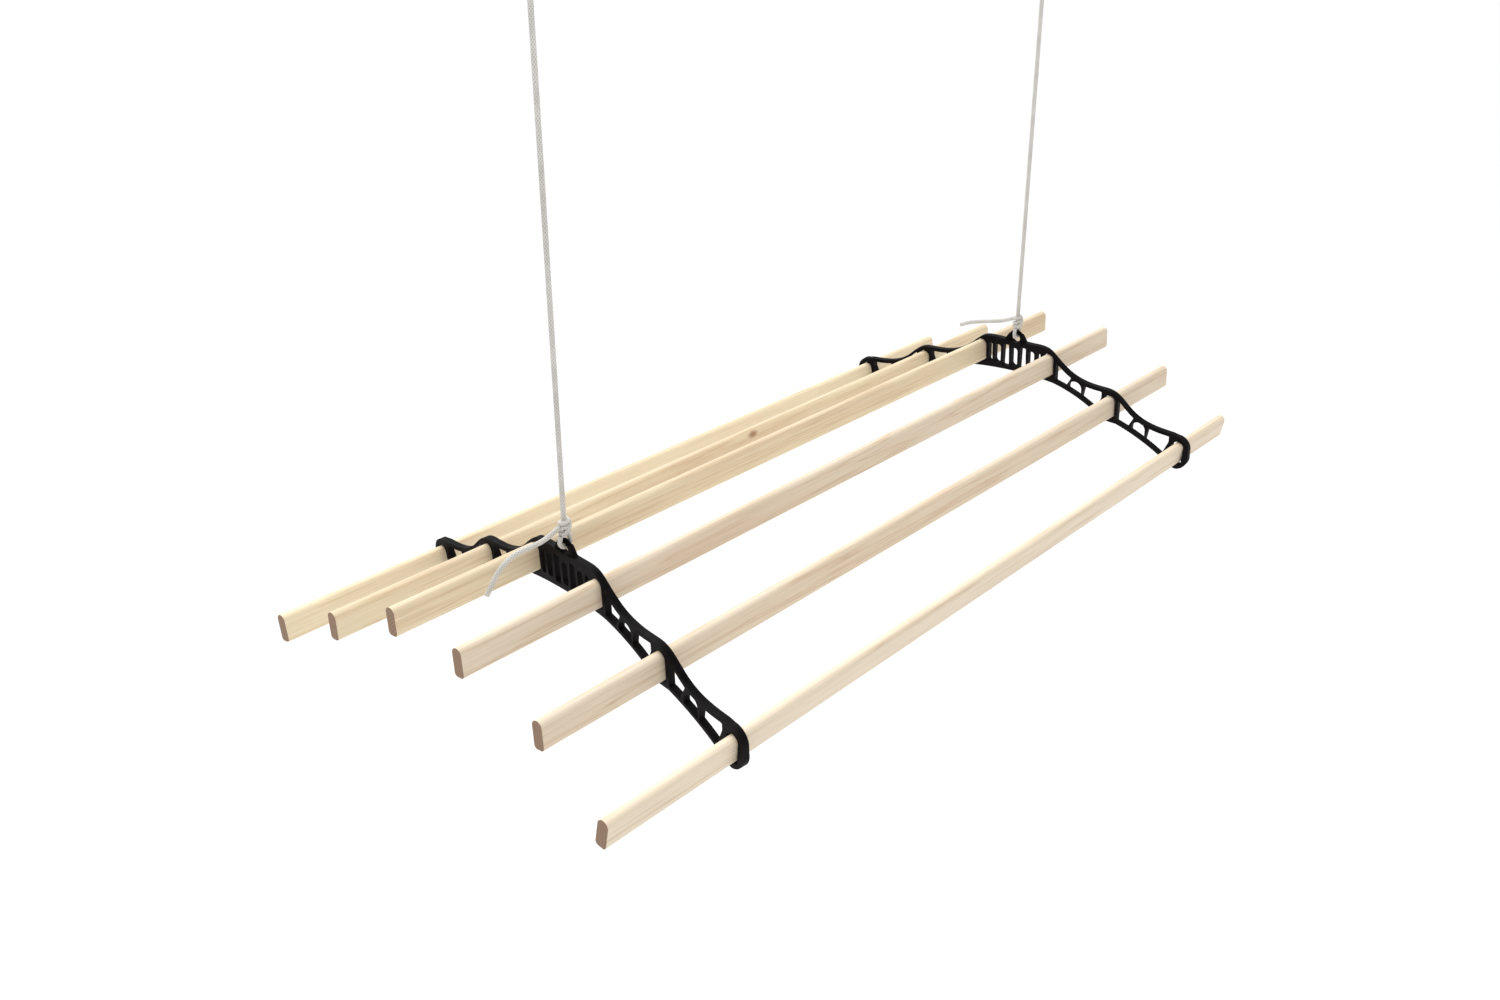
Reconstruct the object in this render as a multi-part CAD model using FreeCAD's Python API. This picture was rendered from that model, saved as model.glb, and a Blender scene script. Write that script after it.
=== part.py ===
"""Ceiling mounted pulley rack: six wooden laths in two cast iron ends, hung on two ropes that run
over a single and a double ceiling pulley.

The frame has +X along the laths, +Y across them and +Z up. Its origin is on the ceiling, midway
between the two rope falls. All sizes are in millimetres. The rack is drawn at its lowest place.
"""
import FreeCAD, Part
import math
import os

# Where things hang, measured down from the ceiling
RACK_DROP = 630.0
END_SPACING = 858.0
AXLE_DROP = 42.0

# Laths, with how far each one has been pushed along X through the ends, and how far it has rolled in
# its slots: a positive roll, in degrees, tips its top towards -Y
LATH_LENGTH = 1200.0
LATH_HEIGHT = 30.5
LATH_WIDTH = 13.0
LATH_FOOT_RADIUS = 4.0
LATH_SHIFTS = [-10.0, -12.0, -7.0, -12.0, -3.0, -24.0]
LATH_ROLLS = [-8.0, -3.0, -3.0, -3.0, -3.0, 11.0]

# Cast ends, which sit loosely on the laths and stand a few degrees off square to them. A yaw
# turns one about its upright line, a lean swings its foot towards +X, a roll lifts its +Y arm. The outer
# slots are tilted, with their tops outwards.
END_DEPTH = 8.0
END_YAWS = {"left": -7.0, "right": 2.7}
END_LEANS = {"left": 2.8, "right": 4.5}
END_ROLLS = {"left": 1.0, "right": 0.5}
SLOT_PLACES = [(53.0, 0.0), (148.5, -40.0), (250.0, -83.0)]
SLOT_TILTS = [0.0, 0.0, 6.0]
SLOT_GAP = 1.9
SLOT_HEADROOM = 1.5
SLOT_SILL = 0.9
EYE_RADIUS = 9.0
EYE_BAR_RADIUS = 3.0
EYE_HEIGHT = 12.5
EYE_FOOT_DEPTH = 6.0
TOP_RIBBON = 5.0
FOOT_RIBBON = 4.4
SLOT_WALL_PLACE = 12.5
OPENING_CORNER_RADIUS = 1.4

# Rope and its knots
ROPE_DIAMETER = 5.5
ROPE_GAP = 0.7
KNOT_HEIGHT = 21.0
KNOT_RADIUS = 7.0
KNOT_FACE_RADIUS = 5.0
HAUL_LENGTH = 36.0

# Pulleys
ROPE_TURN_RADIUS = 22.0
WHEEL_RADIUS = 26.0
WHEEL_WIDTH = 11.0
WHEEL_PITCH = 16.0
WHEEL_HOLES = 5
AXLE_RADIUS = 3.0
AXLE_FIT = 0.08
AXLE_HEAD_RADIUS = 5.0
AXLE_HEAD = 2.0
CHEEK_THICKNESS = 3.4
CHEEK_GAP = 0.8
CHEEK_HALF_WIDTH = 11.0
PLATE_THICKNESS = 5.0
PLATE_LENGTH = 92.0
PLATE_WIDTH = 30.0
DOUBLE_PLATE_WIDTH = 46.0
SCREW_SPACING = 72.0
SCREW_ROW_SPACING = 26.0
SCREW_HOLE_RADIUS = 2.6

# Worked out from the sizes above
LATH_TOP = -RACK_DROP
EYE_X = END_SPACING / 2
ROPE_RADIUS = ROPE_DIAMETER / 2
AXLE_Z = -AXLE_DROP
LOOP_RADIUS = EYE_BAR_RADIUS + ROPE_GAP + ROPE_RADIUS
LOOP_CENTRE = EYE_HEIGHT + EYE_RADIUS
KNOT_BASE = EYE_HEIGHT + EYE_RADIUS + EYE_BAR_RADIUS + 2.0
RUN_SLANT = math.atan(WHEEL_PITCH / (END_SPACING + ROPE_TURN_RADIUS))

# Loose ends of the ropes, from each knot outwards, relative to the lath tops under that eye
LEFT_TAIL = [
    (-4.0, 1.0, 38.5),
    (-19.0, 6.0, 28.0),
    (-34.5, 11.5, 24.0),
    (-52.5, 17.5, 20.5),
    (-65.5, 22.5, 9.5),
    (-74.0, 26.0, -4.0),
    (-82.0, 28.0, -17.5),
]
RIGHT_TAIL = [
    (0.0, 4.0, 41.5),
    (-2.5, 20.0, 34.5),
    (-6.5, 36.0, 31.5),
    (-10.5, 53.0, 28.5),
    (-16.0, 69.0, 25.5),
    (-19.0, 81.0, 20.0),
]


def vec(x, y, z):
    return FreeCAD.Vector(x, y, z)


def across(y, z):
    return vec(0, y, z)


def line(start, end):
    return Part.LineSegment(start, end).toShape()


def arc(start, middle, end):
    return Part.Arc(start, middle, end).toShape()


def corner(before, point, after, radius):
    """Start, middle and end of the arc that rounds one corner of an outline or a route."""
    back = (before - point).normalize()
    ahead = (after - point).normalize()
    half = back.getAngle(ahead) / 2
    reach = radius / math.tan(half)
    inward = (back + ahead).normalize()
    middle = point + inward * (radius / math.sin(half) - radius)
    return point + back * reach, middle, point + ahead * reach


def rounded_face(points, radius):
    """A flat face whose straight sides meet in arcs of one radius."""
    count = len(points)
    arcs = [corner(points[i - 1], points[i], points[(i + 1) % count], radius) for i in range(count)]
    edges = []
    for i in range(count):
        edges.append(arc(*arcs[i]))
        edges.append(line(arcs[i][2], arcs[(i + 1) % count][0]))
    return Part.Face(Part.Wire(edges))


def slab(face, depth):
    """A face drawn at x = 0, thickened equally to both sides along X."""
    return face.translated(vec(-depth / 2, 0, 0)).extrude(vec(depth, 0, 0))


def mirrored(shape):
    return shape.mirror(vec(0, 0, 0), vec(0, 1, 0))


# ---------------------------------------------------------------- laths


def arched_outline(half_width, top, bottom):
    """Corners of a strip with a half round top: the arc's ends and crown, then the foot."""
    shoulder = top - half_width
    left = [across(-half_width, shoulder), across(0, top), across(half_width, shoulder)]
    return left, across(half_width, bottom), across(-half_width, bottom)


def lath(start, end, shift, roll):
    """A lath whose top runs through start and end, with its middle at x = shift, rolled about its core."""
    half = LATH_WIDTH / 2
    crown, foot, other_foot = arched_outline(half, 0, -LATH_HEIGHT)
    right = corner(crown[2], foot, other_foot, LATH_FOOT_RADIUS)
    left = corner(foot, other_foot, crown[0], LATH_FOOT_RADIUS)
    edges = [
        arc(*crown),
        line(crown[2], right[0]),
        arc(*right),
        line(right[2], left[0]),
        arc(*left),
        line(left[2], crown[0]),
    ]
    strip = slab(Part.Face(Part.Wire(edges)), LATH_LENGTH)
    middle = start + (end - start) * ((shift - start.x) / (end.x - start.x))
    strip.rotate(across(0, -LATH_HEIGHT / 2), vec(1, 0, 0), roll)
    direction = FreeCAD.Placement(middle, FreeCAD.Rotation(vec(1, 0, 0), end - start))
    strip.Placement = direction.multiply(strip.Placement)
    return strip


def lath_slot(place, tilt):
    """The closed slot in a cast end, a little wider and higher than the lath that lies in it."""
    half = LATH_WIDTH / 2 + SLOT_GAP
    crown, foot, other_foot = arched_outline(half, SLOT_HEADROOM, -LATH_HEIGHT - SLOT_SILL)
    edges = [arc(*crown), line(crown[2], foot), line(foot, other_foot), line(other_foot, crown[0])]
    side, height = place
    hole = slab(Part.Face(Part.Wire(edges)), 2 * END_DEPTH)
    hole.rotate(across(0, -LATH_HEIGHT / 2), vec(1, 0, 0), -tilt)
    return hole.translated(across(side, height))


# ---------------------------------------------------------------- cast ends

# Upper edge of one arm, from the middle of the casting out to the hook
ARM_TOP = [
    (0, 9.2),
    (28, 9.2),
    (41, 9.0),
    (49, 7.4),
    (57, 3.0),
    (65, -4.0),
    (74, -11.5),
    (86, -19.8),
    (101, -26.3),
    (118, -30.0),
    (136, -31.1),
    (151, -33.0),
    (161, -38.3),
    (170, -46.0),
    (178, -53.2),
    (189, -60.8),
    (201, -66.2),
    (214, -69.5),
    (230, -71.6),
    (248, -74.0),
]
HOOK_OUTSIDE = 266.0
HOOK_TOP_ARC = [(248, -74.0), (260.5, -79.0), (HOOK_OUTSIDE, -90.0)]
HOOK_FOOT_ARC = [(HOOK_OUTSIDE, -100.0), (262.2, -115.0), (249.5, -122.3)]
OUTER_CHORD_ARC = [(243, -120.5), (206, -97.5), (160, -78.5)]
INNER_CHORD_ARC = [(141, -77.3), (106, -56.0), (62, -40.5)]
MIDDLE_CHORD_ARC = [(45, -38.6), (22, -37.0), (0, -36.4)]


def points_across(pairs):
    return [across(y, z) for y, z in pairs]


def arm_outline():
    """Outline face of half a casting, before its openings are cut."""
    top = Part.BSplineCurve()
    top.interpolate(
        Points=points_across(ARM_TOP),
        InitialTangent=across(1, 0),
        FinalTangent=across(1, -0.35),
    )
    arcs = [HOOK_TOP_ARC, HOOK_FOOT_ARC, OUTER_CHORD_ARC, INNER_CHORD_ARC, MIDDLE_CHORD_ARC]
    edges = [top.toShape()]
    end = across(*ARM_TOP[-1])
    for pairs in arcs:
        start = across(*pairs[0])
        if (start - end).Length > 0.01:
            edges.append(line(end, start))
        edges.append(arc(*points_across(pairs)))
        end = across(*pairs[-1])
    edges.append(line(end, across(*ARM_TOP[0])))
    return Part.Face(Part.Wire(edges))


def flat_face(pairs, place):
    """A face with straight sides, given relative to the top of the lath at place."""
    corners = points_across([(y + place[0], z + place[1]) for y, z in pairs])
    edges = [line(corners[i - 1], corners[i]) for i in range(len(corners))]
    return Part.Face(Part.Wire(edges))


def arch_face(place):
    """A small arch that stands on the lower edge, relative to the top of the lath at place."""
    pairs = [(34, -38), (44, -28), (54, -38), (54, -60), (34, -60)]
    corners = points_across([(y + place[0], z + place[1]) for y, z in pairs])
    edges = [arc(*corners[:3])]
    edges += [line(corners[i], corners[(i + 1) % 5]) for i in range(2, 5)]
    return Part.Face(Part.Wire(edges))


def bay_openings(inside, inner, outer, shift):
    """Three openings between two lath slots: a wedge, a small arch and a large trapezium.

    Each is the part of its cell that lies inside the ribbon along the arm's edges. The shift
    moves the two bars beside the arch.
    """
    near = SLOT_WALL_PLACE
    far = outer[0] - inner[0] - SLOT_WALL_PLACE
    across_shift, down_shift = shift
    wedge = [(near, 40), (70, 40 - down_shift), (31, -34 - down_shift), (13, -70), (near, -70)]
    large = [(73 + across_shift, 50), (far, 40), (far, -45), (far - 13, -75)]
    large.append((51 + across_shift, -75))
    moved = (inner[0] + across_shift, inner[1] - down_shift)
    cuts = [slab(arch_face(moved).common(inside).Faces[0], 2 * END_DEPTH)]
    for cell in (flat_face(wedge, inner), flat_face(large, inner)):
        opening = slab(cell.common(inside).Faces[0], 2 * END_DEPTH)
        corners = [edge for edge in opening.Edges if edge.BoundBox.XLength > END_DEPTH]
        cuts.append(opening.makeFillet(OPENING_CORNER_RADIUS, corners))
    return cuts


def round_ended_slot(middle, width, top, bottom):
    half = width / 2
    upper = points_across([(middle - half, top - half), (middle, top), (middle + half, top - half)])
    lower = points_across(
        [(middle + half, bottom + half), (middle, bottom), (middle - half, bottom + half)]
    )
    edges = [arc(*upper), line(upper[2], lower[0]), arc(*lower), line(lower[2], upper[0])]
    return slab(Part.Face(Part.Wire(edges)), 2 * END_DEPTH)


def panel_wedge(middle):
    """A tall opening of the middle panel that widens downwards."""
    sides = [(-4.2, 1.2), (4.2, 1.2), (5.3, -31.6), (-5.3, -31.6)]
    corners = [(middle + side, height) for side, height in sides]
    return slab(rounded_face(points_across(corners), 1.4), 2 * END_DEPTH)


def panel_openings():
    """The middle panel's upright openings on one side of the eye, and the one under it."""
    return [
        round_ended_slot(0, 9.6, -1.6, -29.5),
        panel_wedge(13.3),
        round_ended_slot(26.4, 9.4, -1.2, -29.5),
        round_ended_slot(37.9, 6.0, -1.4, -30.0),
    ]


def eye():
    """The ring over the middle that the rope is tied to, with the foot that joins it to the arm."""
    ring = Part.makeTorus(EYE_RADIUS, EYE_BAR_RADIUS, across(0, EYE_HEIGHT), vec(1, 0, 0))
    foot = rounded_face(points_across([(-19, 5), (19, 5), (10, 19.5), (-10, 19.5)]), 1.5)
    hole = Part.makeCylinder(
        EYE_RADIUS, 2 * END_DEPTH, vec(-END_DEPTH, 0, EYE_HEIGHT), vec(1, 0, 0)
    )
    return ring, slab(foot, EYE_FOOT_DEPTH), hole


def end_placement(name):
    """Where a cast end hangs: rolled and leant about its eye, then turned about its upright line."""
    middle = {"left": -EYE_X, "right": EYE_X}[name]
    roll = FreeCAD.Rotation(vec(1, 0, 0), END_ROLLS[name])
    lean = FreeCAD.Rotation(vec(0, 1, 0), -END_LEANS[name])
    yaw = FreeCAD.Rotation(vec(0, 0, 1), END_YAWS[name])
    pivot = vec(0, 0, LOOP_CENTRE)
    hanging = FreeCAD.Placement(vec(middle, 0, LATH_TOP), yaw)
    return hanging.multiply(FreeCAD.Placement(vec(0, 0, 0), lean.multiply(roll), pivot))


def cast_end():
    """One cast end, drawn at x = 0 with z = 0 at the tops of the two middle laths."""
    cuts = panel_openings()
    outline = arm_outline()
    lowered = outline.translated(vec(0, 0, -TOP_RIBBON))
    inside = lowered.common(outline.translated(vec(0, 0, FOOT_RIBBON)))
    middle, second, outer = SLOT_PLACES
    for place, tilt in zip(SLOT_PLACES, SLOT_TILTS):
        cuts.append(lath_slot(place, tilt))
    cuts.extend(bay_openings(inside, middle, second, (-1.5, 2.5)))
    cuts.extend(bay_openings(inside, second, outer, (0.0, 0.0)))
    half = slab(outline, END_DEPTH).cut(cuts)
    body = half.fuse(mirrored(half)).removeSplitter()
    ring, foot, hole = eye()
    hollow = Part.makeCylinder(
        EYE_RADIUS - EYE_BAR_RADIUS, 2 * END_DEPTH, vec(-END_DEPTH, 0, EYE_HEIGHT), vec(1, 0, 0)
    )
    body = body.fuse(foot.cut(hole)).cut(hollow)
    return body.fuse(ring).removeSplitter()


# ---------------------------------------------------------------- ropes


def loose_path(points):
    """Straight runs joined by tangent arcs, each as large as its two runs allow, and the radii."""
    edges = []
    radii = []
    start = points[0]
    for i in range(1, len(points) - 1):
        before, point, after = points[i - 1], points[i], points[i + 1]
        half_turn = (math.pi - (before - point).getAngle(after - point)) / 2
        shorter = min((before - point).Length, (after - point).Length)
        radius = 0.45 * shorter / math.tan(half_turn)
        begin, middle, finish = corner(before, point, after, radius)
        edges.append(line(start, begin))
        edges.append(arc(begin, middle, finish))
        radii.append(radius)
        start = finish
    edges.append(line(start, points[-1]))
    return edges, radii


def tube(name, edges):
    """Round rope swept along a path of edges, with its volume compared with section times length."""
    path = Part.Wire(edges)
    first = edges[0]
    direction = first.tangentAt(first.FirstParameter)
    section = Part.Wire([Part.makeCircle(ROPE_RADIUS, first.valueAt(first.FirstParameter), direction)])
    solid = path.makePipeShell([section], True, True)
    expected = math.pi * ROPE_RADIUS**2 * path.Length
    print(f"{name}: {path.Length:.1f} mm long, volume {solid.Volume / expected:.4f} of expected")
    return solid


def loose_end(name, route, eye_x):
    points = [vec(eye_x + x, y, LATH_TOP + z) for x, y, z in route]
    edges, radii = loose_path(points)
    print(f"{name}: arc radii", ", ".join(f"{radius:.0f}" for radius in radii))
    return tube(name, edges)


def quarter_turn(bottom, heading, rising):
    """Arc over one side of a wheel between its level tangent point and its crown."""
    centre = bottom + heading * ROPE_TURN_RADIUS
    half = math.sqrt(0.5) * ROPE_TURN_RADIUS
    crown = centre + vec(0, 0, ROPE_TURN_RADIUS)
    middle = centre - heading * half + vec(0, 0, half)
    if rising:
        return arc(bottom, middle, crown), crown
    return arc(crown, middle, bottom), crown


def rope_over_pulleys(name, rise, fall):
    """Rope that comes up at rise, passes over one or more wheels and goes down at fall."""
    heading = (fall - rise).normalize()
    up, first_crown = quarter_turn(rise, heading, True)
    down, last_crown = quarter_turn(fall, heading * -1, False)
    edges = [up]
    if (last_crown - first_crown).Length > 0.01:
        edges.append(line(first_crown, last_crown))
    edges.append(down)
    return tube(name, edges)


def hanging_rope(name, top, bottom):
    return tube(name, [line(top, bottom)])


def knot(x, y, base):
    """Plain barrel in the outer shape of a knot, standing on base."""
    top = base + KNOT_HEIGHT
    inner = [vec(0, 0, base), vec(KNOT_FACE_RADIUS, 0, base)]
    outer = [vec(KNOT_FACE_RADIUS, 0, top), vec(0, 0, top)]
    side = arc(inner[1], vec(KNOT_RADIUS, 0, base + KNOT_HEIGHT / 2), outer[0])
    edges = [line(inner[0], inner[1]), side, line(outer[0], outer[1]), line(outer[1], inner[0])]
    barrel = Part.Face(Part.Wire(edges)).revolve(vec(0, 0, 0), vec(0, 0, 1), 360)
    return barrel.translated(vec(x, y, 0))


def eye_loop(name, eye_x, yaw):
    """The turn of rope that passes through the eye and back up into the knot."""
    centre = LATH_TOP + LOOP_CENTRE
    top = LATH_TOP + KNOT_BASE
    left = vec(eye_x - LOOP_RADIUS, 0, centre)
    right = vec(eye_x + LOOP_RADIUS, 0, centre)
    bottom = vec(eye_x, 0, centre - LOOP_RADIUS)
    edges = [
        line(vec(left.x, 0, top), left),
        arc(left, bottom, right),
        line(right, vec(right.x, 0, top)),
    ]
    return tube(name, edges).rotated(vec(eye_x, 0, 0), vec(0, 0, 1), yaw)


# ---------------------------------------------------------------- pulleys


def wheel(x, y):
    """Grooved wheel, with a thin web between hub and rim that is pierced by round holes."""
    half = WHEEL_WIDTH / 2
    groove = ROPE_TURN_RADIUS - ROPE_RADIUS - 0.15
    profile = [
        (AXLE_RADIUS + AXLE_FIT, half),
        (6.5, half),
        (7.5, 2.0),
        (groove - 4.0, 2.0),
        (groove - 2.6, half - 0.4),
        (WHEEL_RADIUS - 0.6, half - 0.4),
        (WHEEL_RADIUS, half - 1.0),
    ]
    upper = [vec(radius, side, 0) for radius, side in profile]
    lower = [vec(radius, -side, 0) for radius, side in reversed(profile)]
    edges = [line(upper[i], upper[i + 1]) for i in range(len(upper) - 1)]
    edges.append(arc(upper[-1], vec(groove, 0, 0), lower[0]))
    edges += [line(lower[i], lower[i + 1]) for i in range(len(lower) - 1)]
    edges.append(line(lower[-1], upper[0]))
    solid = Part.Face(Part.Wire(edges)).revolve(vec(0, 0, 0), vec(0, 1, 0), 360)
    for i in range(WHEEL_HOLES):
        angle = 2 * math.pi * i / WHEEL_HOLES
        middle = vec(11.3 * math.cos(angle), -half, 11.3 * math.sin(angle))
        solid = solid.cut(Part.makeCylinder(2.6, WHEEL_WIDTH, middle, vec(0, 1, 0)))
    return solid.translated(vec(x, y, AXLE_Z))


def cheek(x, y):
    """One upright cheek of a bracket, round below, centred on y."""
    radius = CHEEK_HALF_WIDTH
    top = -PLATE_THICKNESS + 1.0
    corners = [vec(-radius - 5, 0, top), vec(-radius, 0, AXLE_Z), vec(radius, 0, AXLE_Z)]
    corners.append(vec(radius + 5, 0, top))
    edges = [
        line(corners[0], corners[1]),
        arc(corners[1], vec(0, 0, AXLE_Z - radius), corners[2]),
        line(corners[2], corners[3]),
        line(corners[3], corners[0]),
    ]
    face = Part.Face(Part.Wire(edges)).translated(vec(x, y - CHEEK_THICKNESS / 2, 0))
    return face.extrude(vec(0, CHEEK_THICKNESS, 0))


def ceiling_plate(x, y, width, holes):
    """Flat plate with rounded corners under the ceiling, with its screw holes."""
    half_length = PLATE_LENGTH / 2
    half_width = width / 2
    corners = [
        vec(x - half_length, y - half_width, 0),
        vec(x + half_length, y - half_width, 0),
        vec(x + half_length, y + half_width, 0),
        vec(x - half_length, y + half_width, 0),
    ]
    plate = rounded_face(corners, 11.0).extrude(vec(0, 0, -PLATE_THICKNESS))
    lower_rim = [edge for edge in plate.Edges if edge.BoundBox.ZMax < -PLATE_THICKNESS + 0.1]
    plate = plate.makeFillet(1.5, lower_rim)
    for dx, dy in holes:
        plate = plate.cut(
            Part.makeCylinder(SCREW_HOLE_RADIUS, 2 * PLATE_THICKNESS, vec(x + dx, y + dy, -8))
        )
    return plate


def cheek_offset():
    """From a wheel's middle to the middle of the cheek beside it."""
    return WHEEL_WIDTH / 2 + CHEEK_GAP + CHEEK_THICKNESS / 2


def bracket(x, cheeks, y, width, holes):
    body = ceiling_plate(x, y, width, holes)
    body = body.fuse([cheek(x, side) for side in cheeks]).removeSplitter()
    reach = cheeks[-1] - cheeks[0] + 20
    bore = Part.makeCylinder(AXLE_RADIUS, reach, vec(x, cheeks[0] - 10, AXLE_Z), vec(0, 1, 0))
    return body.cut(bore)


def axle(x, cheeks):
    """Riveted axle through the cheeks, with a low round head at each end."""
    start = cheeks[0] - CHEEK_THICKNESS / 2
    end = cheeks[-1] + CHEEK_THICKNESS / 2
    along = vec(0, 1, 0)
    pin = Part.makeCylinder(AXLE_RADIUS, end - start, vec(x, start, AXLE_Z), along)
    heads = []
    for side, way in ((start, -1), (end, 1)):
        head = Part.makeCylinder(AXLE_HEAD_RADIUS, AXLE_HEAD, vec(x, side, AXLE_Z), along * way)
        rim = [edge for edge in head.Edges if abs(edge.CenterOfMass.y - side) > AXLE_HEAD - 0.1]
        heads.append(head.makeFillet(1.2, rim))
    return pin.fuse(heads).removeSplitter()


# ---------------------------------------------------------------- assembly

parts = {}

casting = cast_end()
placements = {name: end_placement(name) for name in ("left", "right")}
for name, placement in placements.items():
    parts[f"{name}_cast_end"] = casting.copy()
    parts[f"{name}_cast_end"].Placement = placement

all_places = list(reversed(SLOT_PLACES)) + [(-side, height) for side, height in SLOT_PLACES]
for number, (place, shift) in enumerate(zip(all_places, LATH_SHIFTS), start=1):
    start, end = (placement.multVec(across(*place)) for placement in placements.values())
    parts[f"lath_{number}"] = lath(start, end, shift, LATH_ROLLS[number - 1])

knot_top = LATH_TOP + KNOT_BASE + KNOT_HEIGHT
for name, x in (("left", -EYE_X), ("right", EYE_X)):
    parts[f"{name}_rope_fall"] = hanging_rope(
        f"{name}_rope_fall", vec(x, 0, AXLE_Z), vec(x, 0, knot_top)
    )
    parts[f"{name}_eye_loop"] = eye_loop(f"{name}_eye_loop", x, END_YAWS[name])
    parts[f"{name}_knot"] = knot(x, 0, LATH_TOP + KNOT_BASE)
parts["left_rope_tail"] = loose_end("left_rope_tail", LEFT_TAIL, -EYE_X)
parts["right_rope_tail"] = loose_end("right_rope_tail", RIGHT_TAIL, EYE_X)

single_x = -EYE_X + ROPE_TURN_RADIUS
double_x = EYE_X + ROPE_TURN_RADIUS
haul_x = EYE_X + 2 * ROPE_TURN_RADIUS
haul_y = (haul_x + EYE_X) * math.tan(RUN_SLANT)
rises = {"left": vec(-EYE_X, 0, AXLE_Z), "right": vec(EYE_X, 0, AXLE_Z)}
hauls = {"left": vec(haul_x, haul_y, AXLE_Z), "right": vec(haul_x, 0, AXLE_Z)}
for name in ("left", "right"):
    haul = hauls[name]
    end = haul - vec(0, 0, HAUL_LENGTH)
    parts[f"{name}_rope_top"] = rope_over_pulleys(f"{name}_rope_top", rises[name], haul)
    parts[f"{name}_rope_haul"] = hanging_rope(f"{name}_rope_haul", haul, end)
    parts[f"{name}_stop_knot"] = knot(haul.x, haul.y, end.z - KNOT_HEIGHT)

offset = cheek_offset()
row = SCREW_ROW_SPACING / 2
single_holes = [(-SCREW_SPACING / 2, 0), (SCREW_SPACING / 2, 0)]
double_holes = [(dx, dy) for dx, _ in single_holes for dy in (-row, row)]
single_cheeks = [-offset, offset]
double_cheeks = [-offset, WHEEL_PITCH / 2, WHEEL_PITCH + offset]
parts["single_pulley_bracket"] = bracket(single_x, single_cheeks, 0, PLATE_WIDTH, single_holes)
parts["double_pulley_bracket"] = bracket(
    double_x, double_cheeks, WHEEL_PITCH / 2, DOUBLE_PLATE_WIDTH, double_holes
)
parts["single_pulley_axle"] = axle(single_x, single_cheeks)
parts["double_pulley_axle"] = axle(double_x, double_cheeks)
parts["single_pulley_wheel"] = wheel(single_x, 0)
parts["double_pulley_wheel_front"] = wheel(double_x, 0)
parts["double_pulley_wheel_back"] = wheel(double_x, WHEEL_PITCH)

os.makedirs("parts", exist_ok=True)
for name, shape in parts.items():
    solids = shape.Solids
    if len(solids) != 1 or not solids[0].isValid():
        print(f"{name}: {len(solids)} solids, valid {shape.isValid()}")
    solids[0].exportStep(f"parts/{name}.step")
print(len(parts), "parts")
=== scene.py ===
"""Ceiling mounted pulley rack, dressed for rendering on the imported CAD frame.

Metres, +X along the laths, +Y across them, +Z up, origin on the ceiling between the rope falls.
"""

import math
import random

import bpy
from mathutils import Matrix, Vector


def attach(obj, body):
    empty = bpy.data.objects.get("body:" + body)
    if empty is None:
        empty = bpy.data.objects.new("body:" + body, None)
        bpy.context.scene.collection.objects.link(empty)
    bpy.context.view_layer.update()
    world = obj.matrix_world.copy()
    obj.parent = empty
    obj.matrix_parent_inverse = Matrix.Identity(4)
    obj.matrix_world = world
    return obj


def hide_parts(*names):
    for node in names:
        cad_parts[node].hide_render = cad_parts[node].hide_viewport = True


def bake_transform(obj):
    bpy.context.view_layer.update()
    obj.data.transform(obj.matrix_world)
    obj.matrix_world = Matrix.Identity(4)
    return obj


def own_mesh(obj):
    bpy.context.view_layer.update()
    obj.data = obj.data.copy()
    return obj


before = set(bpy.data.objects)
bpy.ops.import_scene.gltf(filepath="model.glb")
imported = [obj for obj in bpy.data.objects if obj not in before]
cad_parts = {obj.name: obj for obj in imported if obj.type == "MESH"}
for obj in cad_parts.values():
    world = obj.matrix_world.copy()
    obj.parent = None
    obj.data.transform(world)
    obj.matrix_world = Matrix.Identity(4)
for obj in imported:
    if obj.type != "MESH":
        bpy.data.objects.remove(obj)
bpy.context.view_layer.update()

# Camera
CAMERA_PLACE = Vector((-1.3022, -1.0026, 0.0503))
CAMERA_RIGHT = Vector((0.65334, -0.75705, -0.00419))
CAMERA_FORWARD = Vector((0.68479, 0.59333, -0.42310))
CAMERA_LENS = 35.16

# Ropes, in the places that the CAD gives them
EYE_X = 0.429
AXLE_Z = -0.042
LATH_TOP = -0.630
ROPE_DIAMETER = 0.0055
ROPE_RADIUS = ROPE_DIAMETER / 2
TURN_RADIUS = 0.022
WHEEL_PITCH = 0.016
HAUL_LENGTH = 0.036
KNOT_HEIGHT = 0.021
BAR_HEIGHT = 0.0215
LOOP_RADIUS = 0.00645
KNOT_BASE = LATH_TOP + BAR_HEIGHT + 0.005
END_YAWS = {"left": -7.0, "right": 2.7}

# Rope surface, its wraps in the knots, and the spacing of the rings that make it
BRAID_STRANDS = 4
BRAID_PITCH = 0.0085
WRAP_TURN = 0.0044
WRAP_RADIUS = 0.00235
WRAP_SIDES = 20
ROPE_STEP = 0.0009
KNOT_STEP = 0.0008

# Pine colours, the knots of each lath as place and size, and the tints of its near and far laths
PINE_PALE = (0.90, 0.785, 0.60)
PINE_MID = (0.80, 0.64, 0.44)
PINE_DARK = (0.62, 0.425, 0.24)
PINE_FLUSH = (0.69, 0.49, 0.33)
PINE_KNOT = (0.27, 0.11, 0.036)
LATH_COUNT = 6
LATH_KNOTS = {2: [((0.026, 0.140, -0.674), 0.0068)]}
NEAR_TINT = (1.0, 0.98, 1.0)
FAR_TINT = (1.0, 0.985, 0.92)

# Surroundings
FLOOR_HEIGHT = -1.9
FLOOR_HALF = 30.0
WORLD_LIGHT = 0.5

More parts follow.
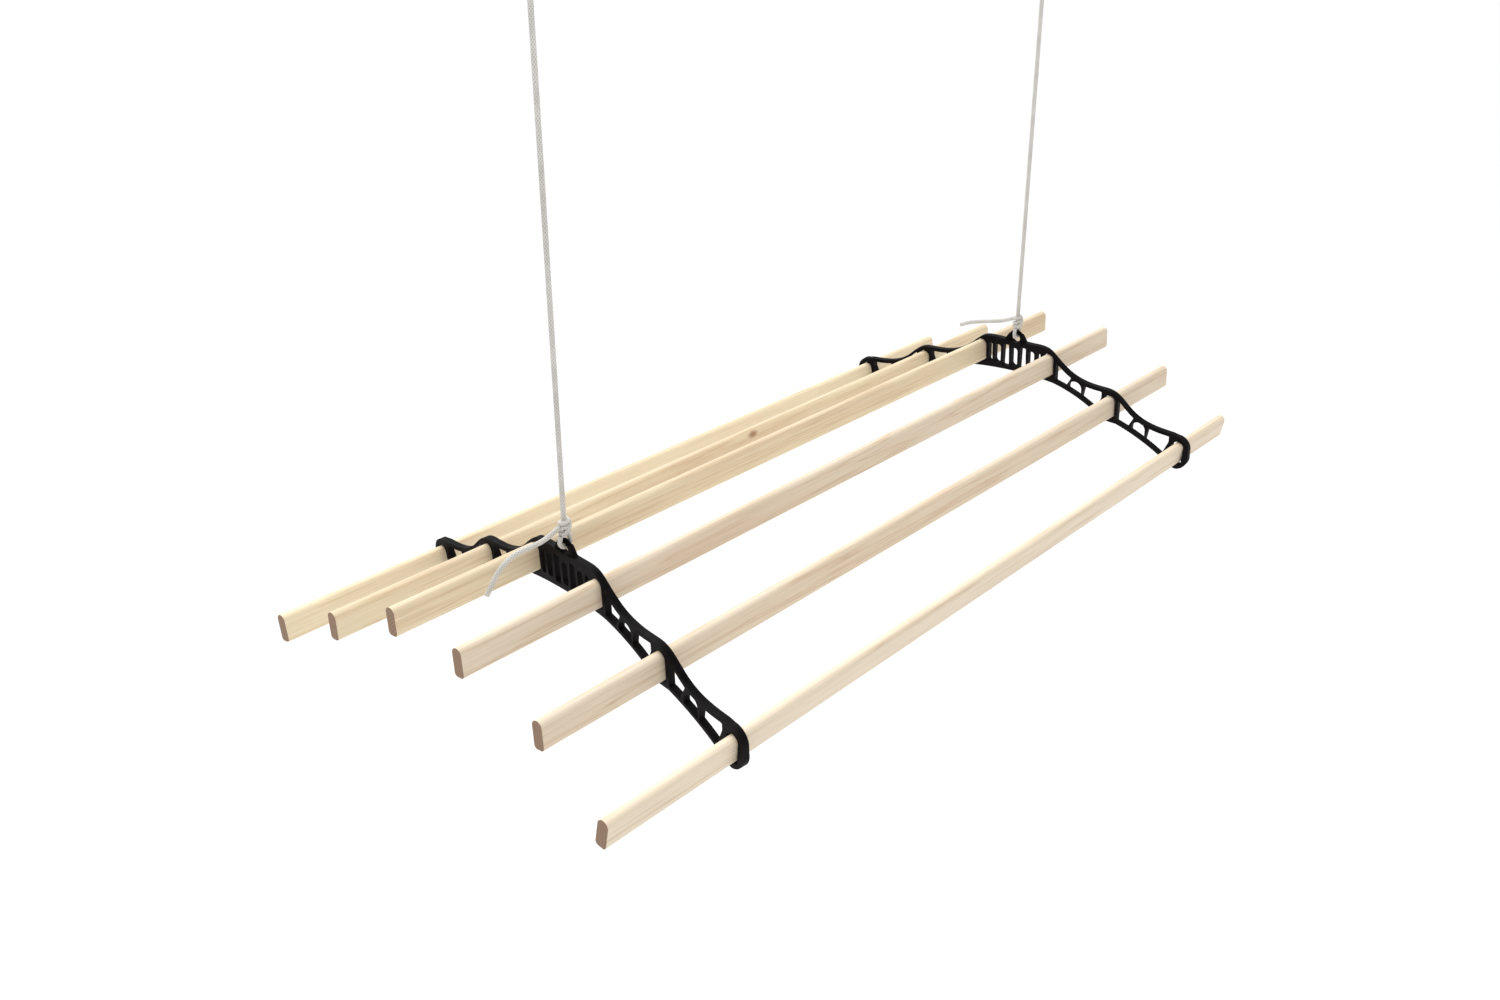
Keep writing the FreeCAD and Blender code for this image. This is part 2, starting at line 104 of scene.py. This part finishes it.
# Routes of the loose ends, relative to the lath tops under each eye
LEFT_TAIL = [
    (-0.0040, 0.0010, 0.0385),
    (-0.0190, 0.0060, 0.0280),
    (-0.0345, 0.0115, 0.0240),
    (-0.0525, 0.0175, 0.0205),
    (-0.0655, 0.0225, 0.0095),
    (-0.0740, 0.0260, -0.0040),
    (-0.0820, 0.0280, -0.0175),
]
RIGHT_TAIL = [
    (0.0000, 0.0040, 0.0415),
    (-0.0025, 0.0200, 0.0345),
    (-0.0065, 0.0360, 0.0315),
    (-0.0105, 0.0530, 0.0285),
    (-0.0160, 0.0690, 0.0255),
    (-0.0190, 0.0810, 0.0200),
]


# ---------------------------------------------------------------- camera


def make_camera():
    data = bpy.data.cameras.new("camera")
    data.sensor_fit = "HORIZONTAL"
    data.sensor_width = 36.0
    data.lens = CAMERA_LENS
    data.clip_start = 0.02
    data.clip_end = 100.0
    camera = bpy.data.objects.new("camera", data)
    bpy.context.scene.collection.objects.link(camera)
    back = -CAMERA_FORWARD.normalized()
    right = CAMERA_RIGHT.normalized()
    up = back.cross(right).normalized()
    turn = Matrix((right, up, back)).transposed().to_4x4()
    camera.matrix_world = Matrix.Translation(CAMERA_PLACE) @ turn
    bpy.context.scene.camera = camera


# ---------------------------------------------------------------- materials


def new_material(name):
    material = bpy.data.materials.new(name)
    material.use_nodes = True
    nodes = material.node_tree.nodes
    return material, nodes, material.node_tree.links, nodes["Principled BSDF"]


def add(nodes, kind, **settings):
    """A new node with the given properties, and input values where a name matches an input."""
    node = nodes.new(kind)
    for name, value in settings.items():
        if name in node.inputs:
            node.inputs[name].default_value = value
        else:
            setattr(node, name, value)
    return node


def ramp(nodes, links, factor, stops):
    node = nodes.new("ShaderNodeValToRGB")
    band = node.color_ramp
    while len(band.elements) < len(stops):
        band.elements.new(0.5)
    for element, (place, colour) in zip(band.elements, stops):
        element.position = place
        element.color = (*colour, 1.0)
    links.new(factor, node.inputs["Fac"])
    return node.outputs["Color"]


def mix_colour(nodes, links, factor, first, second, blend="MIX"):
    node = add(nodes, "ShaderNodeMix", data_type="RGBA", blend_type=blend)
    for value, socket in ((factor, node.inputs[0]), (first, node.inputs[6]), (second, node.inputs[7])):
        if isinstance(value, bpy.types.NodeSocket):
            links.new(value, socket)
        elif isinstance(value, tuple):
            socket.default_value = (*value, 1.0)
        else:
            socket.default_value = value
    return node.outputs[2]


def arithmetic(nodes, links, operation, first, second=0.0):
    node = add(nodes, "ShaderNodeMath", operation=operation)
    for value, socket in ((first, node.inputs[0]), (second, node.inputs[1])):
        if isinstance(value, bpy.types.NodeSocket):
            links.new(value, socket)
        else:
            socket.default_value = value
    return node.outputs[0]


def mapped(nodes, links, scale, offset=(0.0, 0.0, 0.0)):
    coordinates = nodes.new("ShaderNodeTexCoord")
    mapping = nodes.new("ShaderNodeMapping")
    mapping.inputs["Scale"].default_value = scale
    mapping.inputs["Location"].default_value = offset
    links.new(coordinates.outputs["Object"], mapping.inputs["Vector"])
    return mapping.outputs["Vector"]


def noise(nodes, links, vector, scale, detail=4.0, roughness=0.55):
    node = add(nodes, "ShaderNodeTexNoise", Scale=scale, Detail=detail, Roughness=roughness)
    links.new(vector, node.inputs["Vector"])
    return node.outputs["Fac"]


def bumped(nodes, links, shader, height, strength, distance):
    bump = add(nodes, "ShaderNodeBump", Strength=strength, Distance=distance)
    links.new(height, bump.inputs["Height"])
    links.new(bump.outputs["Normal"], shader.inputs["Normal"])


def pine(name, seed, knots, tint):
    """Pale planed pine, grain along X, with darker sawn ends, knots and a tint of its own."""
    material, nodes, links, shader = new_material(name)
    source = random.Random(seed)
    offset = tuple(source.uniform(-5, 5) for _ in range(3))
    warp = noise(nodes, links, mapped(nodes, links, (1.6, 9, 9), offset), 1.0, 3.0)
    rings = mapped(nodes, links, (1.3, 95, 95), offset)
    grain = noise(nodes, links, rings, 1.0, 3.0, 0.6)
    fibre = noise(nodes, links, mapped(nodes, links, (14, 900, 900), offset), 1.0, 3.0, 0.6)
    bands = arithmetic(nodes, links, "MULTIPLY", arithmetic(nodes, links, "ADD", grain, warp), 7.0)
    wave = arithmetic(nodes, links, "PINGPONG", bands, 1.0)
    tone = source.uniform(0.94, 1.04)
    pale = tuple(tone * value * part for value, part in zip(PINE_PALE, tint))
    mid = tuple(tone * value * part for value, part in zip(PINE_MID, tint))
    dark = tuple(tone * value * part for value, part in zip(PINE_DARK, tint))
    colour = ramp(nodes, links, wave, [(0.0, pale), (0.62, pale), (0.88, mid), (1.0, dark)])
    colour = mix_colour(nodes, links, 0.48, colour, pale)
    patch = noise(nodes, links, mapped(nodes, links, (2.2, 30, 30), offset), 1.0, 2.0)
    flush = ramp(nodes, links, patch, [(0.50, (0, 0, 0)), (0.72, (0.45, 0.45, 0.45))])
    colour = mix_colour(nodes, links, flush, colour, PINE_FLUSH)
    streak = ramp(nodes, links, fibre, [(0.35, (0.91, 0.89, 0.86)), (0.62, (1, 1, 1))])
    colour = mix_colour(nodes, links, 1.0, colour, streak, "MULTIPLY")
    for place, size in knots:
        squeeze = (0.55, 1, 1)
        stretched = mapped(nodes, links, squeeze, tuple(-v * s for v, s in zip(place, squeeze)))
        length = add(nodes, "ShaderNodeVectorMath", operation="LENGTH")
        links.new(stretched, length.inputs[0])
        near = arithmetic(nodes, links, "DIVIDE", length.outputs["Value"], size)
        stops = [(0.0, (0.9, 0.9, 0.9)), (0.45, (0.8, 0.8, 0.8)), (1.0, (0, 0, 0))]
        colour = mix_colour(nodes, links, ramp(nodes, links, near, stops), colour, PINE_KNOT)
    geometry = nodes.new("ShaderNodeNewGeometry")
    facing = add(nodes, "ShaderNodeSeparateXYZ")
    links.new(geometry.outputs["Normal"], facing.inputs["Vector"])
    sideways = arithmetic(nodes, links, "ABSOLUTE", facing.outputs["X"])
    end = arithmetic(nodes, links, "GREATER_THAN", sideways, 0.8)
    centre = source.uniform(-0.03, 0.03)
    ring_place = mapped(nodes, links, (0.0, 1.0, 1.0), (0.0, centre, 0.70 + source.uniform(-0.03, 0.03)))
    ring_length = add(nodes, "ShaderNodeVectorMath", operation="LENGTH")
    links.new(ring_place, ring_length.inputs[0])
    year = arithmetic(nodes, links, "MULTIPLY", ring_length.outputs["Value"], 620.0)
    year_wave = arithmetic(nodes, links, "PINGPONG", year, 1.0)
    end_colour = ramp(nodes, links, year_wave, [(0.0, (0.36, 0.225, 0.135)), (1.0, (0.23, 0.135, 0.078))])
    colour = mix_colour(nodes, links, end, colour, end_colour)
    links.new(colour, shader.inputs["Base Color"])
    rough = ramp(nodes, links, fibre, [(0.3, (0.62, 0.62, 0.62)), (0.7, (0.48, 0.48, 0.48))])
    links.new(rough, shader.inputs["Roughness"])
    bumped(nodes, links, shader, fibre, 0.10, 0.0004)
    return material


def black_iron():
    """Cast iron under satin black paint, with a fine sand-cast texture, worn, greyer spots, and a painted
    sheen that lightens its convex edges.
    """
    material, nodes, links, shader = new_material("black_iron")
    place = mapped(nodes, links, (1, 1, 1))
    coarse = noise(nodes, links, place, 90.0, 3.0)
    fine = noise(nodes, links, place, 900.0, 4.0, 0.65)
    stops = [(0.35, (0.0012, 0.0009, 0.0011)), (0.7, (0.0034, 0.0026, 0.0031))]
    colour = ramp(nodes, links, coarse, stops)
    geometry = nodes.new("ShaderNodeNewGeometry")
    # Painted sheen: a lighter purple-brown colour mixed in along the convex edges, where highlights would
    # fall
    painted_sheen_on_edges = ramp(nodes, links, geometry.outputs["Pointiness"], [(0.52, (0, 0, 0)), (0.60, (0.5, 0.5, 0.5))])
    colour = mix_colour(nodes, links, painted_sheen_on_edges, colour, (0.011, 0.009, 0.0105))
    links.new(colour, shader.inputs["Base Color"])
    shader.inputs["Specular IOR Level"].default_value = 0.055
    rough = ramp(nodes, links, coarse, [(0.3, (0.46, 0.46, 0.46)), (0.75, (0.60, 0.60, 0.60))])
    links.new(rough, shader.inputs["Roughness"])
    bumped(nodes, links, shader, fine, 0.22, 0.0005)
    return material


def plain_steel():
    """Turned steel with fine rings round its axis."""
    material, nodes, links, shader = new_material("axle_steel")
    place = mapped(nodes, links, (1, 1, 1))
    turned = noise(nodes, links, mapped(nodes, links, (60, 4000, 60)), 1.0, 2.0)
    stain = noise(nodes, links, place, 160.0, 3.0)
    colour = ramp(nodes, links, stain, [(0.4, (0.46, 0.45, 0.43)), (0.75, (0.30, 0.28, 0.26))])
    links.new(colour, shader.inputs["Base Color"])
    shader.inputs["Metallic"].default_value = 1.0
    shader.inputs["Roughness"].default_value = 0.36
    bumped(nodes, links, shader, turned, 0.15, 0.0002)
    return material


def cotton():
    """Braided cotton: the mesh carries the braid, the material its threads, their shade of colour, and
    painted shade that darkens the furrows between the strands.
    """
    material, nodes, links, shader = new_material("cotton_rope")
    place = mapped(nodes, links, (1, 1, 1))
    uv = nodes.new("ShaderNodeUVMap")
    uv.uv_map = "braid"
    split = nodes.new("ShaderNodeSeparateXYZ")
    links.new(uv.outputs["UV"], split.inputs["Vector"])
    around = arithmetic(nodes, links, "MULTIPLY", split.outputs["X"], 38.0)
    along = arithmetic(nodes, links, "MULTIPLY", split.outputs["Y"], 1500.0)
    one = arithmetic(nodes, links, "SINE", arithmetic(nodes, links, "ADD", around, along))
    two = arithmetic(nodes, links, "SINE", arithmetic(nodes, links, "SUBTRACT", around, along))
    weave = arithmetic(nodes, links, "MAXIMUM", one, two)
    fuzz = noise(nodes, links, place, 1400.0, 3.0, 0.7)
    shade = noise(nodes, links, place, 45.0, 3.0)
    colour = ramp(nodes, links, shade, [(0.35, (0.80, 0.785, 0.745)), (0.7, (0.67, 0.65, 0.605))])
    # Painted shade: the furrows between the braid's strands are darkened in the colour
    furrow_painted_shade = ramp(nodes, links, weave, [(0.0, (0.64, 0.625, 0.60)), (0.55, (1, 1, 1))])
    colour = mix_colour(nodes, links, 0.8, colour, furrow_painted_shade, "MULTIPLY")
    links.new(colour, shader.inputs["Base Color"])
    shader.inputs["Roughness"].default_value = 0.85
    shader.inputs["Sheen Weight"].default_value = 0.25
    height = arithmetic(nodes, links, "ADD", weave, arithmetic(nodes, links, "MULTIPLY", fuzz, 0.8))
    bumped(nodes, links, shader, height, 0.35, 0.0004)
    return material


# ---------------------------------------------------------------- ropes


def spline_points(name, points, step):
    """Points every step metres along the NURBS line that the route's points control."""
    curve = bpy.data.curves.new(f"{name}_route", "CURVE")
    curve.dimensions = "3D"
    spline = curve.splines.new("NURBS")
    spline.points.add(len(points) - 1)
    for control, point in zip(spline.points, points):
        control.co = (*point, 1.0)
    spline.order_u = min(3, len(points))
    spline.use_endpoint_u = True
    spline.resolution_u = 24
    holder = bpy.data.objects.new(f"{name}_route", curve)
    mesh = bpy.data.meshes.new_from_object(holder)
    line = [vertex.co.copy() for vertex in mesh.vertices]
    bpy.data.objects.remove(holder)
    bpy.data.curves.remove(curve)
    bpy.data.meshes.remove(mesh)
    return evenly(line, step)


def evenly(line, step):
    """The same line with its points step apart, its ends kept."""
    lengths = [0.0]
    for before, after in zip(line, line[1:]):
        lengths.append(lengths[-1] + (after - before).length)
    count = max(2, round(lengths[-1] / step))
    spaced = []
    index = 0
    for i in range(count + 1):
        target = lengths[-1] * i / count
        while index < len(line) - 2 and lengths[index + 1] < target:
            index += 1
        span = lengths[index + 1] - lengths[index]
        share = (target - lengths[index]) / span if span > 0 else 0.0
        spaced.append(line[index].lerp(line[index + 1], min(1.0, share)))
    return spaced


def rope_mesh(name, line, radius, material, sides=28):
    """Braided rope along a line of points: a round tube whose surface rises and falls as a braid."""
    tangents = []
    for i in range(len(line)):
        ahead = line[min(i + 1, len(line) - 1)]
        behind = line[max(i - 1, 0)]
        tangents.append((ahead - behind).normalized())
    first = tangents[0]
    aside = Vector((0, 1, 0)) if abs(first.y) < 0.9 else Vector((1, 0, 0))
    normal = (aside - first * aside.dot(first)).normalized()
    vertices = []
    travelled = [0.0]
    for i, point in enumerate(line):
        tangent = tangents[i]
        normal = (normal - tangent * normal.dot(tangent)).normalized()
        binormal = tangent.cross(normal)
        if i:
            travelled.append(travelled[-1] + (point - line[i - 1]).length)
        turn = 2 * math.pi * travelled[i] / BRAID_PITCH
        for j in range(sides):
            angle = 2 * math.pi * j / sides
            lift = math.cos(BRAID_STRANDS * angle + turn) * math.cos(BRAID_STRANDS * angle - turn)
            reach = radius * (0.965 + 0.035 * lift)
            outward = normal * (reach * math.cos(angle))
            vertices.append(point + outward + binormal * (reach * math.sin(angle)))
    faces = []
    for i in range(len(line) - 1):
        for j in range(sides):
            k = (j + 1) % sides
            faces.append((i * sides + j, i * sides + k, (i + 1) * sides + k, (i + 1) * sides + j))
    faces.append(tuple(range(sides - 1, -1, -1)))
    last = (len(line) - 1) * sides
    faces.append(tuple(range(last, last + sides)))
    mesh = bpy.data.meshes.new(name)
    mesh.from_pydata(vertices, [], faces)
    layer = mesh.uv_layers.new(name="braid")
    corner = 0
    for polygon in mesh.polygons:
        polygon.use_smooth = len(polygon.vertices) == 4
        for vertex in polygon.vertices:
            ring, side = divmod(vertex, sides)
            layer.data[corner].uv = (side / sides, travelled[ring])
            corner += 1
    mesh.materials.append(material)
    rope = bpy.data.objects.new(name, mesh)
    bpy.context.scene.collection.objects.link(rope)
    return rope


def joined(pieces, name):
    """Several mesh objects made into one."""
    with bpy.context.temp_override(
        active_object=pieces[0], selected_editable_objects=pieces, selected_objects=pieces
    ):
        bpy.ops.object.join()
    pieces[0].name = name
    return pieces[0]


def helix(centre, radius, low, high, start, turns, step=0.0006):
    """Points that climb round a centre, with start in degrees."""
    count = max(8, round(2 * math.pi * radius * abs(turns) / step))
    points = []
    for i in range(count + 1):
        share = i / count
        angle = math.radians(start) + 2 * math.pi * turns * share
        height = low + (high - low) * share
        points.append(centre + Vector((radius * math.cos(angle), radius * math.sin(angle), height)))
    return points


def hitch(name, x, yaw, material):
    """Two half hitches on the standing rope, and the turn that passes round the eye's bar."""
    centre = Vector((x, 0, 0))
    turn = Matrix.Rotation(math.radians(yaw), 3, "Z")
    bar = LATH_TOP + BAR_HEIGHT
    loop = []
    for i in range(25):
        angle = math.pi * i / 24
        around = Vector((-LOOP_RADIUS * math.cos(angle), 0, bar - LOOP_RADIUS * math.sin(angle)))
        loop.append(centre + turn @ around)
    rise = Vector((0, 0, 0.0065))
    inward = Vector((0.0015, 0, 0))
    loop = [loop[0] + rise + turn @ inward] + loop + [loop[-1] + rise - turn @ inward]
    parts = [rope_mesh(f"{name}_turn", evenly(loop, KNOT_STEP), ROPE_RADIUS * 0.94, material)]
    standing = [Vector((x, 0, KNOT_BASE + KNOT_HEIGHT)), Vector((x, 0, KNOT_BASE + 0.001))]
    parts.append(rope_mesh(f"{name}_standing", evenly(standing, KNOT_STEP), ROPE_RADIUS * 0.96, material))
    lower = helix(centre, WRAP_TURN, KNOT_BASE + 0.0024, KNOT_BASE + 0.0098, 20, 1.55)
    upper = helix(centre, WRAP_TURN, KNOT_BASE + 0.0112, KNOT_BASE + 0.0186, 200, 1.55)
    cross = helix(centre, 0.0056, KNOT_BASE + 0.0030, KNOT_BASE + 0.0176, -150, 0.42)
    for part, line in (("lower", lower), ("upper", upper), ("cross", cross)):
        parts.append(rope_mesh(f"{name}_{part}", line, WRAP_RADIUS, material, WRAP_SIDES))
    return joined(parts, name)


def stop_knot(name, x, y, top, material):
    """Stopper knot on a hauling end: two snug wraps over the rope, and a short bare end."""
    centre = Vector((x, y, 0))
    core = [Vector((x, y, top + 0.0005)), Vector((x, y, top - KNOT_HEIGHT))]
    parts = [rope_mesh(f"{name}_core", evenly(core, KNOT_STEP), ROPE_RADIUS * 0.96, material)]
    wraps = helix(centre, WRAP_TURN, top - 0.0165, top - 0.0026, 60, 2.7)
    parts.append(rope_mesh(f"{name}_wraps", wraps, WRAP_RADIUS, material, WRAP_SIDES))
    return joined(parts, name)


def straight(name, top, bottom, material):
    """A straight rope from top to bottom, and the line that it follows."""
    line = spline_points(name, [top, bottom], ROPE_STEP)
    return rope_mesh(name, line, ROPE_RADIUS, material), line


def make_ropes(material):
    haul_x = EYE_X + 2 * TURN_RADIUS
    slant = WHEEL_PITCH / (2 * EYE_X + TURN_RADIUS)
    far_y = (haul_x + EYE_X) * slant
    crown = Vector((0, 0, TURN_RADIUS))
    haul_ends = {"left": Vector((haul_x, far_y, AXLE_Z)), "right": Vector((haul_x, 0, AXLE_Z))}
    tails = {"left": LEFT_TAIL, "right": RIGHT_TAIL}
    for side, x in (("left", -EYE_X), ("right", EYE_X)):
        rise = Vector((x, 0, AXLE_Z))
        haul = haul_ends[side]
        knot_top = KNOT_BASE + KNOT_HEIGHT
        fall, fall_line = straight(f"{side}_fall", rise, Vector((x, 0, knot_top)), material)
        knot = hitch(f"{side}_hitch", x, END_YAWS[side], material)
        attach(knot, "hitches")
        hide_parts(f"{side}_knot", f"{side}_eye_loop")

        heading = (haul - rise).normalized()
        route = [rise, rise + crown]
        if side == "left":
            route.append(rise + crown + heading * 2 * TURN_RADIUS)
            route.append(haul + crown - heading * 2 * TURN_RADIUS)
        route += [haul + crown, haul]
        over_line = spline_points(f"{side}_over", route, ROPE_STEP)
        over = rope_mesh(f"{side}_over", over_line, ROPE_RADIUS, material)
        end = haul - Vector((0, 0, HAUL_LENGTH))
        pull, pull_line = straight(f"{side}_pull", haul, end, material)
        stopper = stop_knot(f"{side}_stopper", haul.x, haul.y, end.z, material)
        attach(stopper, "haul_end")
        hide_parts(f"{side}_stop_knot")

        under = Vector((x, 0, LATH_TOP))
        tail_route = [under + Vector(point) for point in tails[side]]
        tail_line = spline_points(f"{side}_tail", tail_route, ROPE_STEP)
        tail = rope_mesh(f"{side}_tail", tail_line, ROPE_RADIUS, material)
        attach(tail, "hitches")
        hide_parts(f"{side}_rope_tail")

        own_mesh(fall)
        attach(fall, "ceiling_gear")
        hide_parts(f"{side}_rope_fall")
        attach(over, "ceiling_gear")
        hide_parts(f"{side}_rope_top")
        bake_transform(pull)
        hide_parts(f"{side}_rope_haul")


# ---------------------------------------------------------------- painted CAD pieces


def paint(node, material):
    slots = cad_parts[node].material_slots
    for slot in slots:
        slot.link = "OBJECT"
        slot.material = material


def paint_frame():
    iron = black_iron()
    steel = plain_steel()
    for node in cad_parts:
        if "cast_end" in node or "bracket" in node or "wheel" in node:
            paint(node, iron)
        elif "axle" in node:
            paint(node, steel)
    for number in range(1, LATH_COUNT + 1):
        tint = NEAR_TINT if number > LATH_COUNT / 2 else FAR_TINT
        knots = LATH_KNOTS.get(number, [])
        paint(f"lath_{number}", pine(f"pine_{number}", 40 + number, knots, tint))


# ---------------------------------------------------------------- surroundings


def area_light(name, place, target, size, power):
    data = bpy.data.lights.new(name, "AREA")
    data.shape = "DISK"
    data.size = size
    data.energy = power
    light = bpy.data.objects.new(name, data)
    light.location = place
    light.rotation_euler = (Vector(target) - Vector(place)).to_track_quat("-Z", "Y").to_euler()
    bpy.context.scene.collection.objects.link(light)


def soft_sun(towards, strength):
    """A wide overhead light that reaches the whole floor evenly."""
    data = bpy.data.lights.new("overhead", "SUN")
    data.energy = strength
    data.angle = math.radians(60)
    light = bpy.data.objects.new("overhead", data)
    light.rotation_euler = Vector(towards).to_track_quat("Z", "Y").to_euler()
    bpy.context.scene.collection.objects.link(light)


def make_floor():
    material, nodes, links, shader = new_material("pale_floor")
    shader.inputs["Base Color"].default_value = (0.93, 0.93, 0.93, 1.0)
    shader.inputs["Roughness"].default_value = 0.9
    half = FLOOR_HALF
    corners = [(-half, -half), (half, -half), (half, half), (-half, half)]
    mesh = bpy.data.meshes.new("floor")
    mesh.from_pydata([(x, y, FLOOR_HEIGHT) for x, y in corners], [], [(0, 1, 2, 3)])
    mesh.materials.append(material)
    floor = bpy.data.objects.new("floor", mesh)
    bpy.context.scene.collection.objects.link(floor)


def make_world():
    """A background that the camera sees as white, and that lights the object less strongly."""
    world = bpy.data.worlds.new("studio")
    world.use_nodes = True
    nodes = world.node_tree.nodes
    links = world.node_tree.links
    background = nodes["Background"]
    background.inputs["Color"].default_value = (1.0, 1.0, 1.0, 1.0)
    rays = nodes.new("ShaderNodeLightPath")
    strength = arithmetic(nodes, links, "MAXIMUM", rays.outputs["Is Camera Ray"], WORLD_LIGHT)
    links.new(strength, background.inputs["Strength"])
    bpy.context.scene.world = world


def make_surroundings():
    make_floor()
    make_world()
    soft_sun((0.3, 0.6, 1.0), 2.2)
    area_light("above", (-0.6, -0.9, 2.2), (0.0, 0.0, -0.6), 2.6, 28.0)
    area_light("side", (-2.4, 1.6, 0.8), (0.0, 0.0, -0.6), 1.6, 4.0)
    bpy.context.scene.view_settings.view_transform = "Standard"


make_camera()
make_ropes(cotton())
paint_frame()
make_surroundings()
